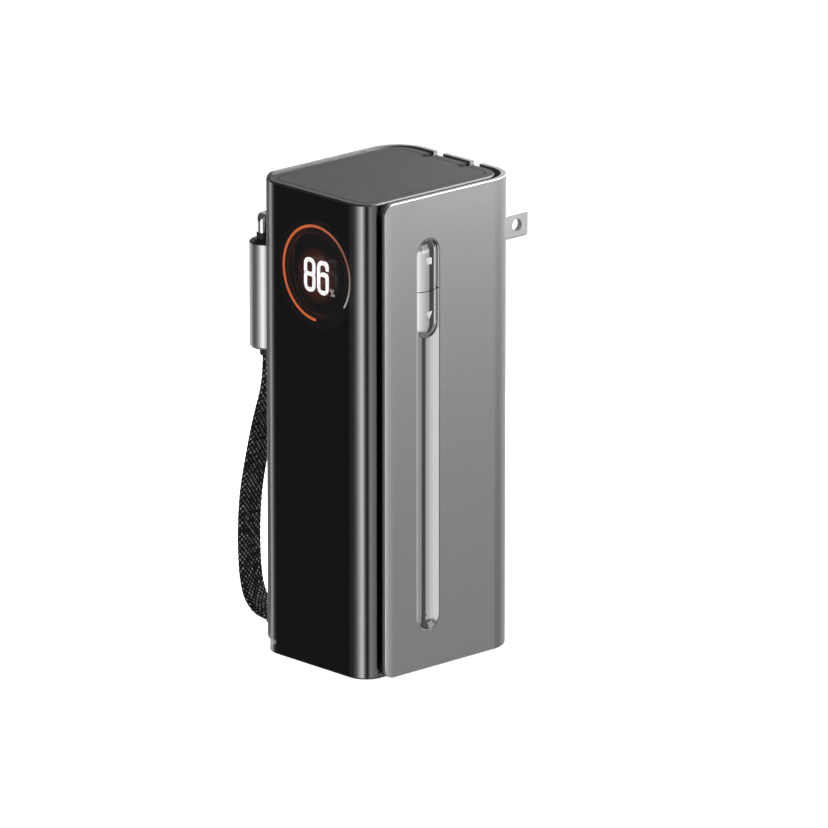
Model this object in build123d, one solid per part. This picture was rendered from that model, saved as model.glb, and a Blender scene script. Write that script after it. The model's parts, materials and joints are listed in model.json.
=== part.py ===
from build123d import *
import math
import os

# Pocket power station: a black core inside a U-shaped aluminium shell.  Millimetres, +Z up.
# Front is -Y (display), right is +X (buttons), back is +Y (mains prongs), left is -X (captive lead).
# The origin is the middle of the base, on the surface that it stands on.

# ---- body ----
HEIGHT = 117.6
FIT_GAP = 0.05                 # between pieces that are assembled face to face
SHELL_HALF_WIDTH = 21.2
SHELL_FRONT_Y = -19.9
SHELL_BACK_Y = 24.3
SHELL_BASE_Z = 0.5
SHELL_WALL = 1.3
SHELL_BACK_R = 8.8
SHELL_TIP_R = 2.4              # rounded corners of the two free edges
SHELL_EDGE_R = 0.15
SHELL_ROLL_LENGTH = 2.0        # soft outer corner of the two free edges, along the side
SHELL_ROLL_DEPTH = 0.5

CORE_HALF_WIDTH = 18.35
CORE_FRONT_Y = -24.3
CORE_BACK_Y = 21.5
CORE_FRONT_R = 5.4
CORE_BACK_R = 6.0
CASE_STEP = 0.3                # the case side lies this far inside the front cover's side
CASE_WALL = 1.5

COVER_WALL = 1.5
COVER_END_Y = -19.3
COVER_BASE_Z = 0.35
COVER_FLARE_R = 2.2            # the cover's rear edge curves back under both caps
COVER_FLARE_THICKNESS = 0.25
CAP_LIP = 0.45                 # thickness of the caps' visible outer lip
CAP_DEPTH = 2.4
CAP_CHAMFER = 0.3
BOSS_R = 2.1
BOSS_TOP_Z = 9.0
SCREW_PILOT_R = 0.8
PANEL_INSET = 2.1
PANEL_DEPTH = 1.0
PANEL_GROOVE = 0.22

LINER_BASE_Z = 3.0
LINER_TOP_Z = HEIGHT - 2.5
LINER_FRONT_Y = -16.9

# ---- display ----
DISPLAY_Z = 97.5
DISPLAY_R = 13.4
DISPLAY_AIR = 0.15             # between the window's inner face and the lit panel
DISPLAY_THICKNESS = 1.2
DISPLAY_BOARD = 1.0

# ---- channel and buttons in the right side ----
CHANNEL_Y = -6.2
CHANNEL_WIDTH = 7.5
CHANNEL_LOW_Z = 9.9
CHANNEL_HIGH_Z = 107.3
TROUGH_WIDTH = 6.9
TROUGH_R = 6.0                 # rounded floor of the trough
TROUGH_FLANK = 20.0            # slope of its straight flanks, degrees
POCKET_WIDTH = 7.15
BUTTON_WIDTH = 6.8
BUTTON_LOW_Z = 82.6
BUTTON_SPLIT_Z = 94.3
BUTTON_HIGH_Z = 106.8
BUTTON_SPLIT_GAP = 0.2
BUTTON_PROUD = 0.25
BUTTON_CROWN_R = 6.2
BUTTON_BACK_X = 19.5
BUTTON_TRAVEL = 0.4
STEM_R = 1.2
STEM_HOLE_R = 1.5
STEM_END_X = 15.25
INSERT_FLOOR = 0.8
PLUNGER_R = 0.9
PLUNGER_END_X = 14.0
RUNNING_GAP = 0.06             # radial clearance of a pin or plunger that moves

# ---- mains prongs (NEMA 1-15) ----
BLADE_SPACING = 12.7
BLADE_WIDTH = 6.35
BLADE_THICKNESS = 1.5
BLADE_REACH = 16.0             # beyond the back face when folded out
BLADE_HOLE_R = 1.6
BLADE_HOLE_TO_TIP = 3.95
BLADE_TIP_R = 0.7
BLADE_TIP_BEVEL = 0.4
BLADE_OFFSET = 0.8             # middle of the blade above the pivot
PIVOT_Y = 21.9
PIVOT_Z = 98.9
COLLAR_R = 2.2                 # moulded collars on the pin, each side of a blade
COLLAR_REACH = 2.6             # from the middle of the blade
PIN_R = 1.0
PIN_END_X = 11.3
CHAMBER_R = 4.4
CHAMBER_REACH = 2.9
GROOVE_WIDTH = 2.4
GROOVE_FLOOR_Y = 17.7
NOTCH_WIDTH = 3.2
PRONG_WINDOW_LOW_Z = 96.1
PRONG_WINDOW_HIGH_Z = 101.7
HOUSING_HALF_WIDTH = 12.2
HOUSING_FRONT_Y = 15.6
HOUSING_LOW_Z = 93.5
HOUSING_STEP_Z = 94.9          # above this the housing reaches back to the shell
HOUSING_FLANGE_Y = 18.2
HOUSING_SCREW_X = 13.4
HOUSING_SCREW_Z = (97.5, 110.5)
CONTACT_WINDOW = 1.6           # half width of the opening that a contact reaches through
CONTACT_WINDOW_Z = (96.4, 101.4)
CONTACT_HALF_WIDTH = 1.2
CONTACT_LEG_Y = (13.6, 13.9)
CONTACT_ARM_Z = (99.3, 99.6)
CONTACT_END_Y = 17.2
PIN_FIT = 0.02
DETENT_FOOT_Y = (19.0, 19.4)
DETENT_FOOT_Z = (94.0, 98.0)
DETENT_TOP_Z = 101.0
DETENT_INNER = 1.2             # from the middle of the blade to the leaf

# ---- cells ----
CELL_R = 10.5
CELL_LENGTH = 70.2
CELL_X = -3.1
CELL_Y = (-12.1, 9.2)
CELL_LOW_Z = 4.4
CELL_GAP = 0.1
HOLDER_HALF_WIDTH = 11.2
HOLDER_DEPTH = 8.0
HOLDER_PLATE = 1.4
STRIP_THICKNESS = 0.25

# ---- boards ----
BOARD = 1.2
MAIN_BOARD_Y = (-19.0, 13.2)
COIL_Z = (20.0, 33.0, 46.0)
COIL_SIDE = 8.0
COIL_HEIGHT = 3.6
# Y, Z and side of each chip.
CHIPS = [(-12.0, 20.0, 5.0), (-12.0, 36.0, 6.0), (8.0, 30.0, 4.0), (8.0, 50.0, 5.0), (-12.0, 62.0, 4.0)]
CHIP_HEIGHT = 0.9
CAPACITOR_Y = (-16.0, -9.0, 4.0, 10.0)
CAPACITOR_Z = 72.0
TRANSFORMER_X = (-9.0, 5.0)
TRANSFORMER_Y = (-4.0, 10.0)
TRANSFORMER_LIMB = 2.5
TRANSFORMER_YOKE = 3.0
TRANSFORMER_HEIGHT = 12.0
BULK_CAPACITOR_X = (-10.6, -3.2, 4.2)
MAIN_BOARD_X = 9.4
SWITCH_BOARD_X = 12.3
SWITCH_BOARD = 0.8
MAINS_BOARD_Z = 77.4

# ---- USB-C port in the left side ----
PORT_Y = 9.0
PORT_Z = 88.0
PORT_WIDTH = 8.94
PORT_HEIGHT = 3.26
PORT_WALL = 0.25
PORT_MOUTH_X = -20.7
PORT_DEPTH = 7.3

# ---- captive lead and its plug, on the left side ----
LEAD_Y = -14.0
LEAD_WIDTH = 7.0
LEAD_THICKNESS = 1.8
LEAD_EXIT_Z = 5.2
LEAD_ENTRY_X = -24.6           # where it goes into the plug
TAIL_THICKNESS = 1.2
PLUG_X = -25.3
PLUG_THICKNESS = 8.0
PLUG_WIDTH = 11.8
PLUG_LOW_Z = 72.8
PLUG_RIM_Z = 99.5
PLUG_WALL = 0.8
NOSE_RISE = 0.35
USB_WIDTH = 8.34
USB_THICKNESS = 2.56
USB_LENGTH = 6.35
USB_WALL = 0.3
USB_CORNER_R = 2.3
SEAL_HEIGHT = 1.65
SEAL_WALL = 0.25
MAGNET_R = 2.5
MAGNET_Z = 84.0

# The lead's route in the XZ plane, from the boot to the plug: out of the side, a tight turn up, a long
# bow, and back in to the plug.
LEAD_ROUTE = [
    (-23.3, 5.2),
    (-27.3, 5.2),
    (-30.8, 7.2),
    (-32.8, 10.7),
    (-33.7, 16.6),
    (-33.9, 25.1),
    (-33.2, 34.3),
    (-31.2, 43.3),
    (-28.4, 54.0),
    (-24.6, 64.6),
    (-24.6, 71.0),
]


# ---- helpers ----
def block(x, y, z):
    """A box from its (low, high) pairs."""
    size = [pair[1] - pair[0] for pair in (x, y, z)]
    middle = [(pair[0] + pair[1]) / 2 for pair in (x, y, z)]
    return Pos(*middle) * Box(*size)


def rod_x(radius, x, y, z):
    """A round rod along X between a (low, high) pair."""
    return Pos((x[0] + x[1]) / 2, y, z) * Rot(0, 90, 0) * Cylinder(radius, x[1] - x[0])


def rod_y(radius, x, y, z):
    """A round rod along Y between a (low, high) pair."""
    return Pos(x, (y[0] + y[1]) / 2, z) * Rot(90, 0, 0) * Cylinder(radius, y[1] - y[0])


def rod_z(radius, x, y, z):
    """A round rod along Z between a (low, high) pair."""
    return Pos(x, y, (z[0] + z[1]) / 2) * Cylinder(radius, z[1] - z[0])


def upright_pill(width, x, y, z):
    """A round-ended bar standing along Z, cut through X."""
    outline = Rot(0, 0, 90) * SlotOverall(z[1] - z[0], width)
    face = Plane.YZ.offset(x[0]) * Pos(y, (z[0] + z[1]) / 2) * outline
    return extrude(face, x[1] - x[0])


def flat_pill(length, thickness, x, y, z, taper=0):
    """A round-ended bar lying along Y in plan, standing between two heights."""
    face = Plane.XY.offset(z[0]) * Pos(x, y) * Rot(0, 0, 90) * SlotOverall(length, thickness)
    return extrude(face, z[1] - z[0], taper=taper)


def side_pill(length, thickness, x, y, z):
    """A round-ended bar lying along Y, going through X."""
    face = Plane.YZ.offset(x[0]) * Pos(y, z) * SlotOverall(length, thickness)
    return extrude(face, x[1] - x[0])


def body_outline(half_width, front, back, front_r, back_r):
    """Plan of the body: a rectangle with its own corner radii at the front and the back."""
    face = Pos(0, (front + back) / 2) * Rectangle(2 * half_width, back - front)
    if front_r:
        face = fillet(face.vertices().group_by(Axis.Y)[0], front_r)
    return fillet(face.vertices().group_by(Axis.Y)[-1], back_r)


def core_outline(inset=0.0):
    return body_outline(
        CORE_HALF_WIDTH - inset,
        CORE_FRONT_Y + inset,
        CORE_BACK_Y - inset,
        CORE_FRONT_R - inset,
        CORE_BACK_R - inset,
    )


def upright(face, low, high):
    """Stand a plan outline up between two heights."""
    return extrude(Pos(0, 0, low) * face, high - low)


# ---- cuts that several pieces share ----
def prong_middles():
    return [-BLADE_SPACING / 2, BLADE_SPACING / 2]


def prong_cut(width, front, back):
    """The two grooves that the folded blades lie in, with the windows that the collars turn in."""
    cut = []
    for middle in prong_middles():
        cut.append(block((middle - width / 2, middle + width / 2), (front, back), (PIVOT_Z, HEIGHT + 1)))
        window = (middle - CHAMBER_REACH, middle + CHAMBER_REACH)
        cut.append(block(window, (front, back), (PRONG_WINDOW_LOW_Z, PRONG_WINDOW_HIGH_Z)))
    return cut


def groove_cut(front, back):
    """Only the two narrow grooves, for the cap and its panel."""
    half = GROOVE_WIDTH / 2
    return [
        block((middle - half, middle + half), (front, back), (PIVOT_Z, HEIGHT + 1))
        for middle in prong_middles()
    ]


def port_cut(gap):
    return side_pill(PORT_WIDTH + 2 * gap, PORT_HEIGHT + 2 * gap, (-22.0, -15.0), PORT_Y, PORT_Z)


def lead_cut():
    return side_pill(LEAD_WIDTH + 0.4, LEAD_THICKNESS + 0.4, (-22.0, -16.0), LEAD_Y, LEAD_EXIT_Z)


# ---- outside of the body ----
def outer_shell():
    outer = body_outline(SHELL_HALF_WIDTH, SHELL_FRONT_Y, SHELL_BACK_Y, 0, SHELL_BACK_R)
    inner = body_outline(
        SHELL_HALF_WIDTH - SHELL_WALL,
        SHELL_FRONT_Y - 1,
        SHELL_BACK_Y - SHELL_WALL,
        0,
        SHELL_BACK_R - SHELL_WALL,
    )
    shell = upright(outer - inner, SHELL_BASE_Z, HEIGHT)
    tips = shell.edges().filter_by(Axis.X).group_by(Axis.Y)[0]
    shell = fillet(tips, SHELL_TIP_R)
    shell = fillet(outside_edges(shell), SHELL_EDGE_R)
    shell -= roll_cuts()
    shell -= upright_pill(
        CHANNEL_WIDTH + 2 * FIT_GAP,
        (SHELL_HALF_WIDTH - 2, SHELL_HALF_WIDTH + 1),
        CHANNEL_Y,
        (CHANNEL_LOW_Z - FIT_GAP, CHANNEL_HIGH_Z + FIT_GAP),
    )
    shell -= prong_cut(NOTCH_WIDTH, SHELL_BACK_Y - 2, SHELL_BACK_Y + 1)
    return shell - port_cut(0.3) - lead_cut()


def outside_edges(shell):
    """The shell's outer edges along its top, its bottom and its two free ends."""
    chosen = []
    for edge in shell.edges():
        middle = edge @ 0.5
        corner = math.hypot(
            abs(middle.X) - (SHELL_HALF_WIDTH - SHELL_BACK_R),
            middle.Y - (SHELL_BACK_Y - SHELL_BACK_R),
        )
        on_side = abs(abs(middle.X) - SHELL_HALF_WIDTH) < 0.01
        on_back = abs(middle.Y - SHELL_BACK_Y) < 0.01
        on_corner = abs(corner - SHELL_BACK_R) < 0.01 and middle.Y > SHELL_BACK_Y - SHELL_BACK_R
        seam = middle.Y > SHELL_FRONT_Y + 1 and SHELL_BASE_Z + 1 < middle.Z < HEIGHT - 1
        if (on_side or on_back or on_corner) and not seam:
            chosen.append(edge)
    return chosen


def roll_cuts():
    """What the long soft corners take off the outside of the two free edges."""
    cuts = []
    for side in (-1, 1):
        x = side * (SHELL_HALF_WIDTH - SHELL_ROLL_DEPTH)
        y = SHELL_FRONT_Y + SHELL_ROLL_LENGTH
        corner = Pos(x + side, y - SHELL_ROLL_LENGTH) * Rectangle(2, 2 * SHELL_ROLL_LENGTH)
        roll = corner - Pos(x, y) * Ellipse(SHELL_ROLL_DEPTH, SHELL_ROLL_LENGTH)
        cuts.append(upright(roll, 0, HEIGHT + 1))
    return cuts


def shell_liner():
    """Black spacer that the shell is bonded to, set back from the shell's edges."""
    inner_gap = CASE_STEP - FIT_GAP
    outer = body_outline(
        SHELL_HALF_WIDTH - SHELL_WALL - FIT_GAP,
        LINER_FRONT_Y,
        SHELL_BACK_Y - SHELL_WALL - FIT_GAP,
        0,
        SHELL_BACK_R - SHELL_WALL - FIT_GAP,
    )
    inner = body_outline(
        CORE_HALF_WIDTH - inner_gap,
        LINER_FRONT_Y - 1,
        CORE_BACK_Y + FIT_GAP,
        0,
        CORE_BACK_R - inner_gap,
    )
    liner = upright(outer - inner, LINER_BASE_Z, LINER_TOP_Z)
    liner -= upright_pill(
        CHANNEL_WIDTH + 2 * FIT_GAP,
        (CORE_HALF_WIDTH - 1, SHELL_HALF_WIDTH),
        CHANNEL_Y,
        (CHANNEL_LOW_Z - FIT_GAP, CHANNEL_HIGH_Z + FIT_GAP),
    )
    liner -= block(
        (-HOUSING_HALF_WIDTH - FIT_GAP, HOUSING_HALF_WIDTH + FIT_GAP),
        (CORE_BACK_Y - 1, SHELL_BACK_Y),
        (HOUSING_STEP_Z - FIT_GAP, HEIGHT),
    )
    magnet_hole = rod_x(MAGNET_R + FIT_GAP, (-22.0, -17.0), LEAD_Y, MAGNET_Z)
    return liner - port_cut(FIT_GAP) - lead_cut() - magnet_hole


def front_cover():
    """Smoked window over the whole front, wrapped round both corners."""
    low, high = COVER_BASE_Z + FIT_GAP, HEIGHT - CAP_LIP
    cover = upright(core_outline() - core_outline(COVER_WALL), low, high)
    cover -= block((-30, 30), (COVER_END_Y, 30), (-1, HEIGHT + 1))
    x = (CORE_HALF_WIDTH - COVER_FLARE_THICKNESS, CORE_HALF_WIDTH)
    y = (COVER_END_Y - COVER_WALL / 2, COVER_END_Y + COVER_FLARE_R)
    for z, centre_z in (
        ((low, low + COVER_FLARE_R), low + COVER_FLARE_R),
        ((high - COVER_FLARE_R, high), high - COVER_FLARE_R),
    ):
        for side in (-1, 1):
            span = sorted((side * x[0], side * x[1]))
            cover += block(span, y, z) - rod_x(COVER_FLARE_R, (-30, 30), y[1], centre_z)
    return cover


def bore_outline(inset=0.0):
    """Plan of the inside of the case: narrower at the front, where the cover wraps round it."""
    rear_half_width = CORE_HALF_WIDTH - CASE_STEP - CASE_WALL - inset
    front_half_width = CORE_HALF_WIDTH - COVER_WALL - FIT_GAP - CASE_WALL - inset
    back = CORE_BACK_Y - CASE_WALL - inset
    split = COVER_END_Y + FIT_GAP + CASE_WALL + inset
    front = CORE_FRONT_Y + COVER_WALL + FIT_GAP + CASE_WALL + inset
    rear = body_outline(rear_half_width, split, back, 0, CORE_BACK_R - CASE_STEP - CASE_WALL - inset)
    return rear + body_outline(front_half_width, front, back - 10, 2.0 - inset, 2.0)


def main_case():
    """The core's inner case: a tube with a narrower front part inside the front cover."""
    split_y = COVER_END_Y + FIT_GAP
    rear = body_outline(CORE_HALF_WIDTH - CASE_STEP, split_y, CORE_BACK_Y, 0, CORE_BACK_R - CASE_STEP)
    front_side = Pos(0, (CORE_FRONT_Y + split_y) / 2) * Rectangle(60, split_y - CORE_FRONT_Y + 0.2)
    front_part = core_outline(COVER_WALL + FIT_GAP) & front_side
    low, high = CAP_DEPTH + FIT_GAP, HEIGHT - CAP_DEPTH - FIT_GAP
    case = upright(rear + front_part - bore_outline(), low, high)
    for x, y in screw_places():
        case += rod_z(BOSS_R, x, y, (low, BOSS_TOP_Z))
        case -= rod_z(SCREW_PILOT_R, x, y, (0, BOSS_TOP_Z - 1))
    front_wall = (CORE_FRONT_Y, CORE_FRONT_Y + 5)
    case -= block((CELL_X - 7, CELL_X + 7), front_wall, (CELL_LOW_Z - 0.2, CELL_LOW_Z + CELL_LENGTH + 1))
    case -= rod_y(DISPLAY_R + 0.1, 0, front_wall, DISPLAY_Z)
    for span in button_spans():
        case -= rod_x(STEM_HOLE_R, (14, 20), CHANNEL_Y, sum(span) / 2)
    case -= block(
        (-HOUSING_HALF_WIDTH - FIT_GAP, HOUSING_HALF_WIDTH + FIT_GAP),
        (CORE_BACK_Y - 3, CORE_BACK_Y + 1),
        (HOUSING_LOW_Z - FIT_GAP, HEIGHT),
    )
    for x, z in housing_screw_places():
        case -= rod_y(0.65, x, (HOUSING_FLANGE_Y, CORE_BACK_Y - 0.3), z)
    return case - port_cut(FIT_GAP) - lead_cut()


def cap_body(low, high, lip_low, lip_high):
    """A cap: a lip of the core's full outline on a plug that fits inside the front cover."""
    lip = upright(core_outline(), lip_low, lip_high)
    rear = core_outline(CASE_STEP) - Pos(0, -30 + COVER_END_Y + FIT_GAP) * Rectangle(80, 60)
    plug = upright(core_outline(COVER_WALL + FIT_GAP) + rear, low, high)
    return lip, plug


def top_cap():
    lip, plug = cap_body(HEIGHT - CAP_DEPTH, HEIGHT - CAP_LIP, HEIGHT - CAP_LIP, HEIGHT)
    lip = chamfer(lip.faces().sort_by(Axis.Z)[-1].edges(), CAP_CHAMFER)
    recess = upright(core_outline(PANEL_INSET), HEIGHT - PANEL_DEPTH, HEIGHT + 1)
    return lip + plug - recess - groove_cut(GROOVE_FLOOR_Y, CORE_BACK_Y + 1)


def top_panel():
    outline = core_outline(PANEL_INSET + PANEL_GROOVE)
    panel = upright(outline, HEIGHT - PANEL_DEPTH + FIT_GAP, HEIGHT)
    return panel - groove_cut(GROOVE_FLOOR_Y, CORE_BACK_Y + 1)


def bottom_cap():
    lip, plug = cap_body(CAP_LIP, CAP_DEPTH, 0, COVER_BASE_Z)
    lip = chamfer(lip.faces().sort_by(Axis.Z)[0].edges(), CAP_CHAMFER)
    cap = lip + upright(core_outline(COVER_WALL + FIT_GAP), COVER_BASE_Z, CAP_LIP) + plug
    for x, y in screw_places():
        cap -= rod_z(0.85, x, y, (-1, CAP_DEPTH + 1))
        cap -= rod_z(1.9, x, y, (-1, 1.2))
    return cap


def screw_places():
    return [(-13.6, -19.4), (13.6, -19.4), (-14.4, 16.6), (14.4, 16.6)]


def case_screws():
    """Four M1.6 screws that go up through the bottom cap into the case's bosses."""
    screws = []
    for x, y in screw_places():
        head = rod_z(1.75, x, y, (0.25, 1.15)) - rod_z(0.6, x, y, (0.1, 0.8))
        screws.append(head + rod_z(0.75, x, y, (1.1, 6.5)))
    return Compound(screws)


# ---- channel and buttons ----
def capsule(radius, x, y, z):
    """A round bar along Z with ball ends, between two heights of its ball centres."""
    ends = [Pos(x, y, height) * Sphere(radius) for height in z]
    return rod_z(radius, x, y, z) + ends[0] + ends[1]


def trough_cut(low, high):
    """The trough: a rounded floor with straight flanks, and a bowl at its low end."""
    half = TROUGH_WIDTH / 2
    slope = math.radians(TROUGH_FLANK)
    reach = TROUGH_R * math.sin(slope)
    rise = TROUGH_R * (1 - math.cos(slope))
    floor_x = SHELL_HALF_WIDTH - rise - (half - reach) * math.tan(slope)
    middle_rise = TROUGH_R * (1 - math.cos(slope / 2))
    middle = (floor_x + middle_rise, TROUGH_R * math.sin(slope / 2))
    outside_x = SHELL_HALF_WIDTH + 1
    outline = Polyline(
        (floor_x, 0), (outside_x, 0), (outside_x, half), (SHELL_HALF_WIDTH, half), (floor_x + rise, reach)
    )
    side = make_face(outline + ThreePointArc((floor_x + rise, reach), middle, (floor_x, 0)))
    place = Pos(0, CHANNEL_Y, low)
    bowl = revolve(place * side, Axis((0, CHANNEL_Y, low), (1, 0, 0)), 360)
    run = extrude(place * side, high - low, dir=(0, 0, 1))
    other_run = extrude(place * mirror(side, about=Plane.XZ), high - low, dir=(0, 0, 1))
    return [bowl, run, other_run]


def channel_insert():
    low_x = CORE_HALF_WIDTH - CASE_STEP + FIT_GAP
    insert = upright_pill(
        CHANNEL_WIDTH, (low_x, SHELL_HALF_WIDTH), CHANNEL_Y, (CHANNEL_LOW_Z, CHANNEL_HIGH_Z)
    )
    rim = insert.faces().sort_by(Axis.X)[-1].edges()
    insert = chamfer(rim, 0.2)
    insert -= trough_cut(CHANNEL_LOW_Z + CHANNEL_WIDTH / 2, BUTTON_LOW_Z + 2)
    pocket_gap = (POCKET_WIDTH - BUTTON_WIDTH) / 2
    insert -= upright_pill(
        POCKET_WIDTH,
        (low_x + INSERT_FLOOR, SHELL_HALF_WIDTH + 1),
        CHANNEL_Y,
        (BUTTON_LOW_Z - pocket_gap, BUTTON_HIGH_Z + pocket_gap),
    )
    for low, high in button_spans():
        insert -= rod_x(STEM_HOLE_R, (12, 21), CHANNEL_Y, (low + high) / 2)
    return insert


def button_spans():
    """The heights of the lower and the upper button."""
    half_gap = BUTTON_SPLIT_GAP / 2
    return [(BUTTON_LOW_Z, BUTTON_SPLIT_Z - half_gap), (BUTTON_SPLIT_Z + half_gap, BUTTON_HIGH_Z)]


def button(span):
    """One convex button: half of a round-ended bar under a rounded crown, with its stem."""
    half = BUTTON_WIDTH / 2
    bar = upright_pill(
        BUTTON_WIDTH, (BUTTON_BACK_X, SHELL_HALF_WIDTH + 2), CHANNEL_Y, (BUTTON_LOW_Z, BUTTON_HIGH_Z)
    )
    crown_x = SHELL_HALF_WIDTH + BUTTON_PROUD - BUTTON_CROWN_R
    bar &= capsule(BUTTON_CROWN_R, crown_x, CHANNEL_Y, (BUTTON_LOW_Z + half, BUTTON_HIGH_Z - half))
    bar &= block((0, 30), (CHANNEL_Y - 10, CHANNEL_Y + 10), span)
    return bar + rod_x(STEM_R, (STEM_END_X, BUTTON_BACK_X), CHANNEL_Y, sum(span) / 2)


def plunger(span):
    return rod_x(PLUNGER_R, (PLUNGER_END_X, STEM_END_X), CHANNEL_Y, sum(span) / 2)


def tact_switches():
    """Two tactile switch bodies on the switch board."""
    bodies = []
    for low, high in button_spans():
        middle = (low + high) / 2
        body = block(
            (SWITCH_BOARD_X + SWITCH_BOARD, 14.8),
            (CHANNEL_Y - 2.6, CHANNEL_Y + 2.6),
            (middle - 2.6, middle + 2.6),
        )
        body = fillet(body.edges().filter_by(Axis.X), 0.4)
        bodies.append(body - rod_x(PLUNGER_R + RUNNING_GAP, (13.4, 15.0), CHANNEL_Y, middle))
    return Compound(bodies)


# ---- display ----
def display_face_y():
    return CORE_FRONT_Y + COVER_WALL + DISPLAY_AIR


def display_panel():
    face = display_face_y()
    panel = rod_y(DISPLAY_R, 0, (face, face + DISPLAY_THICKNESS), DISPLAY_Z)
    return fillet(panel.edges().group_by(Axis.Y)[0], 0.15)


def display_board():
    low = display_face_y() + DISPLAY_THICKNESS
    board = rod_y(DISPLAY_R - 0.4, 0, (low, low + DISPLAY_BOARD), DISPLAY_Z)
    return board - rod_y(0.9, 0, (low - 1, low + 2), DISPLAY_Z - 9.5)


def display_flex():
    """Flat lead from the display's board across to the main board."""
    low = display_face_y() + DISPLAY_THICKNESS + DISPLAY_BOARD
    flat = block((2.0, MAIN_BOARD_X - 0.8), (low, low + 0.3), (94.0, 100.0))
    drop = block((MAIN_BOARD_X - 1.1, MAIN_BOARD_X - 0.8), (low, low + 5.0), (94.0, 100.0))
    plug = block((MAIN_BOARD_X - 1.2, MAIN_BOARD_X), (low + 5.0, low + 8.0), (93.6, 100.4))
    return flat + drop + plug


# ---- mains prongs ----
def prong_pin():
    return rod_x(PIN_R, (-PIN_END_X, PIN_END_X), PIVOT_Y, PIVOT_Z)


def prong_collars():
    """Four moulded collars that hold the blades in place on the pin."""
    collars = []
    for middle in prong_middles():
        for side in (-1, 1):
            x = sorted((middle + side * BLADE_THICKNESS / 2, middle + side * COLLAR_REACH))
            collar = rod_x(COLLAR_R, x, PIVOT_Y, PIVOT_Z)
            collars.append(collar - rod_x(PIN_R + PIN_FIT, x, PIVOT_Y, PIVOT_Z))
    return Compound(collars)


def prong_blade(middle):
    """One flat brass blade: round at the pivot, bevelled at the tip, with its locking hole."""
    x = (middle - BLADE_THICKNESS / 2, middle + BLADE_THICKNESS / 2)
    through = (x[0] - 1, x[1] + 1)
    centre_z = PIVOT_Z + BLADE_OFFSET
    tip_y = SHELL_BACK_Y + BLADE_REACH
    blade = block(x, (PIVOT_Y, tip_y), (centre_z - BLADE_WIDTH / 2, centre_z + BLADE_WIDTH / 2))
    tip_corners = blade.edges().filter_by(Axis.X).group_by(Axis.Y)[-1]
    blade = fillet(tip_corners, BLADE_TIP_R)
    tip_face = blade.faces().sort_by(Axis.Y)[-1]
    blade = chamfer(tip_face.edges().filter_by(Axis.Z), BLADE_TIP_BEVEL)
    blade += rod_x(BLADE_WIDTH / 2, x, PIVOT_Y, centre_z)
    blade -= rod_x(BLADE_HOLE_R, through, tip_y - BLADE_HOLE_TO_TIP, centre_z)
    return blade - rod_x(PIN_R + PIN_FIT, through, PIVOT_Y, PIVOT_Z)


def prong_housing():
    """Pocket in the back of the core: it carries the pin, and the folded blades lie in its grooves."""
    x = (-HOUSING_HALF_WIDTH, HOUSING_HALF_WIDTH)
    top = LINER_TOP_Z
    housing = block(x, (HOUSING_FRONT_Y, CORE_BACK_Y), (HOUSING_LOW_Z, top))
    housing += block(x, (CORE_BACK_Y, SHELL_BACK_Y - SHELL_WALL - FIT_GAP), (HOUSING_STEP_Z, top))
    flange_side = Pos(0, (HOUSING_FLANGE_Y + CORE_BACK_Y) / 2) * Rectangle(
        2 * HOUSING_SCREW_X + 3.2, CORE_BACK_Y - HOUSING_FLANGE_Y
    )
    housing += upright(bore_outline(FIT_GAP) & flange_side, HOUSING_LOW_Z + 1, top - 1)
    housing -= rod_x(PIN_R + RUNNING_GAP, (-PIN_END_X - 0.1, HOUSING_HALF_WIDTH + 1), PIVOT_Y, PIVOT_Z)
    for middle in prong_middles():
        chamber = (middle - CHAMBER_REACH, middle + CHAMBER_REACH)
        housing -= rod_x(CHAMBER_R, chamber, PIVOT_Y, PIVOT_Z)
        window = (middle - CONTACT_WINDOW, middle + CONTACT_WINDOW)
        housing -= block(window, (0, PIVOT_Y), CONTACT_WINDOW_Z)
        foot = (middle + DETENT_INNER - FIT_GAP, middle + COLLAR_REACH + FIT_GAP)
        housing -= block(foot, DETENT_FOOT_Y, DETENT_FOOT_Z)
    housing -= groove_cut(GROOVE_FLOOR_Y, 30)
    for side_x, z in housing_screw_places():
        housing -= rod_y(0.75, side_x, (0, CORE_BACK_Y), z)
    return housing


def housing_screw_places():
    return [(side * HOUSING_SCREW_X, z) for side in (-1, 1) for z in HOUSING_SCREW_Z]


def housing_screws():
    """Four screws that hold the prong housing's flange to the back wall of the case."""
    screws = []
    for x, z in housing_screw_places():
        head = rod_y(1.2, x, (HOUSING_FLANGE_Y - 0.8, HOUSING_FLANGE_Y), z)
        screws.append(head + rod_y(0.6, x, (HOUSING_FLANGE_Y, CORE_BACK_Y - 0.5), z))
    return Compound(screws)


def ac_contacts():
    """Two brass springs on the mains board that reach the blade roots."""
    springs = []
    for middle in prong_middles():
        x = (middle - CONTACT_HALF_WIDTH, middle + CONTACT_HALF_WIDTH)
        leg = block(x, CONTACT_LEG_Y, (MAINS_BOARD_Z + BOARD, CONTACT_ARM_Z[1]))
        springs.append(leg + block(x, (CONTACT_LEG_Y[1], CONTACT_END_Y), CONTACT_ARM_Z))
    return Compound(springs)


def detent_springs():
    """Two leaves that click against flats on the collars in both end positions."""
    y = (DETENT_FOOT_Y[0] + FIT_GAP, DETENT_FOOT_Y[0] + 0.25)
    z = (DETENT_FOOT_Z[0] + FIT_GAP, DETENT_TOP_Z)
    return Compound([block((middle + DETENT_INNER, middle + COLLAR_REACH), y, z) for middle in prong_middles()])


# ---- cells ----
def cell(middle_y):
    top = CELL_LOW_Z + CELL_LENGTH
    can = rod_z(CELL_R, CELL_X, middle_y, (CELL_LOW_Z, top - 0.5))
    can = fillet(can.edges(), 0.6)
    return can + rod_z(CELL_R * 0.42, CELL_X, middle_y, (top - 0.6, top))


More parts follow.
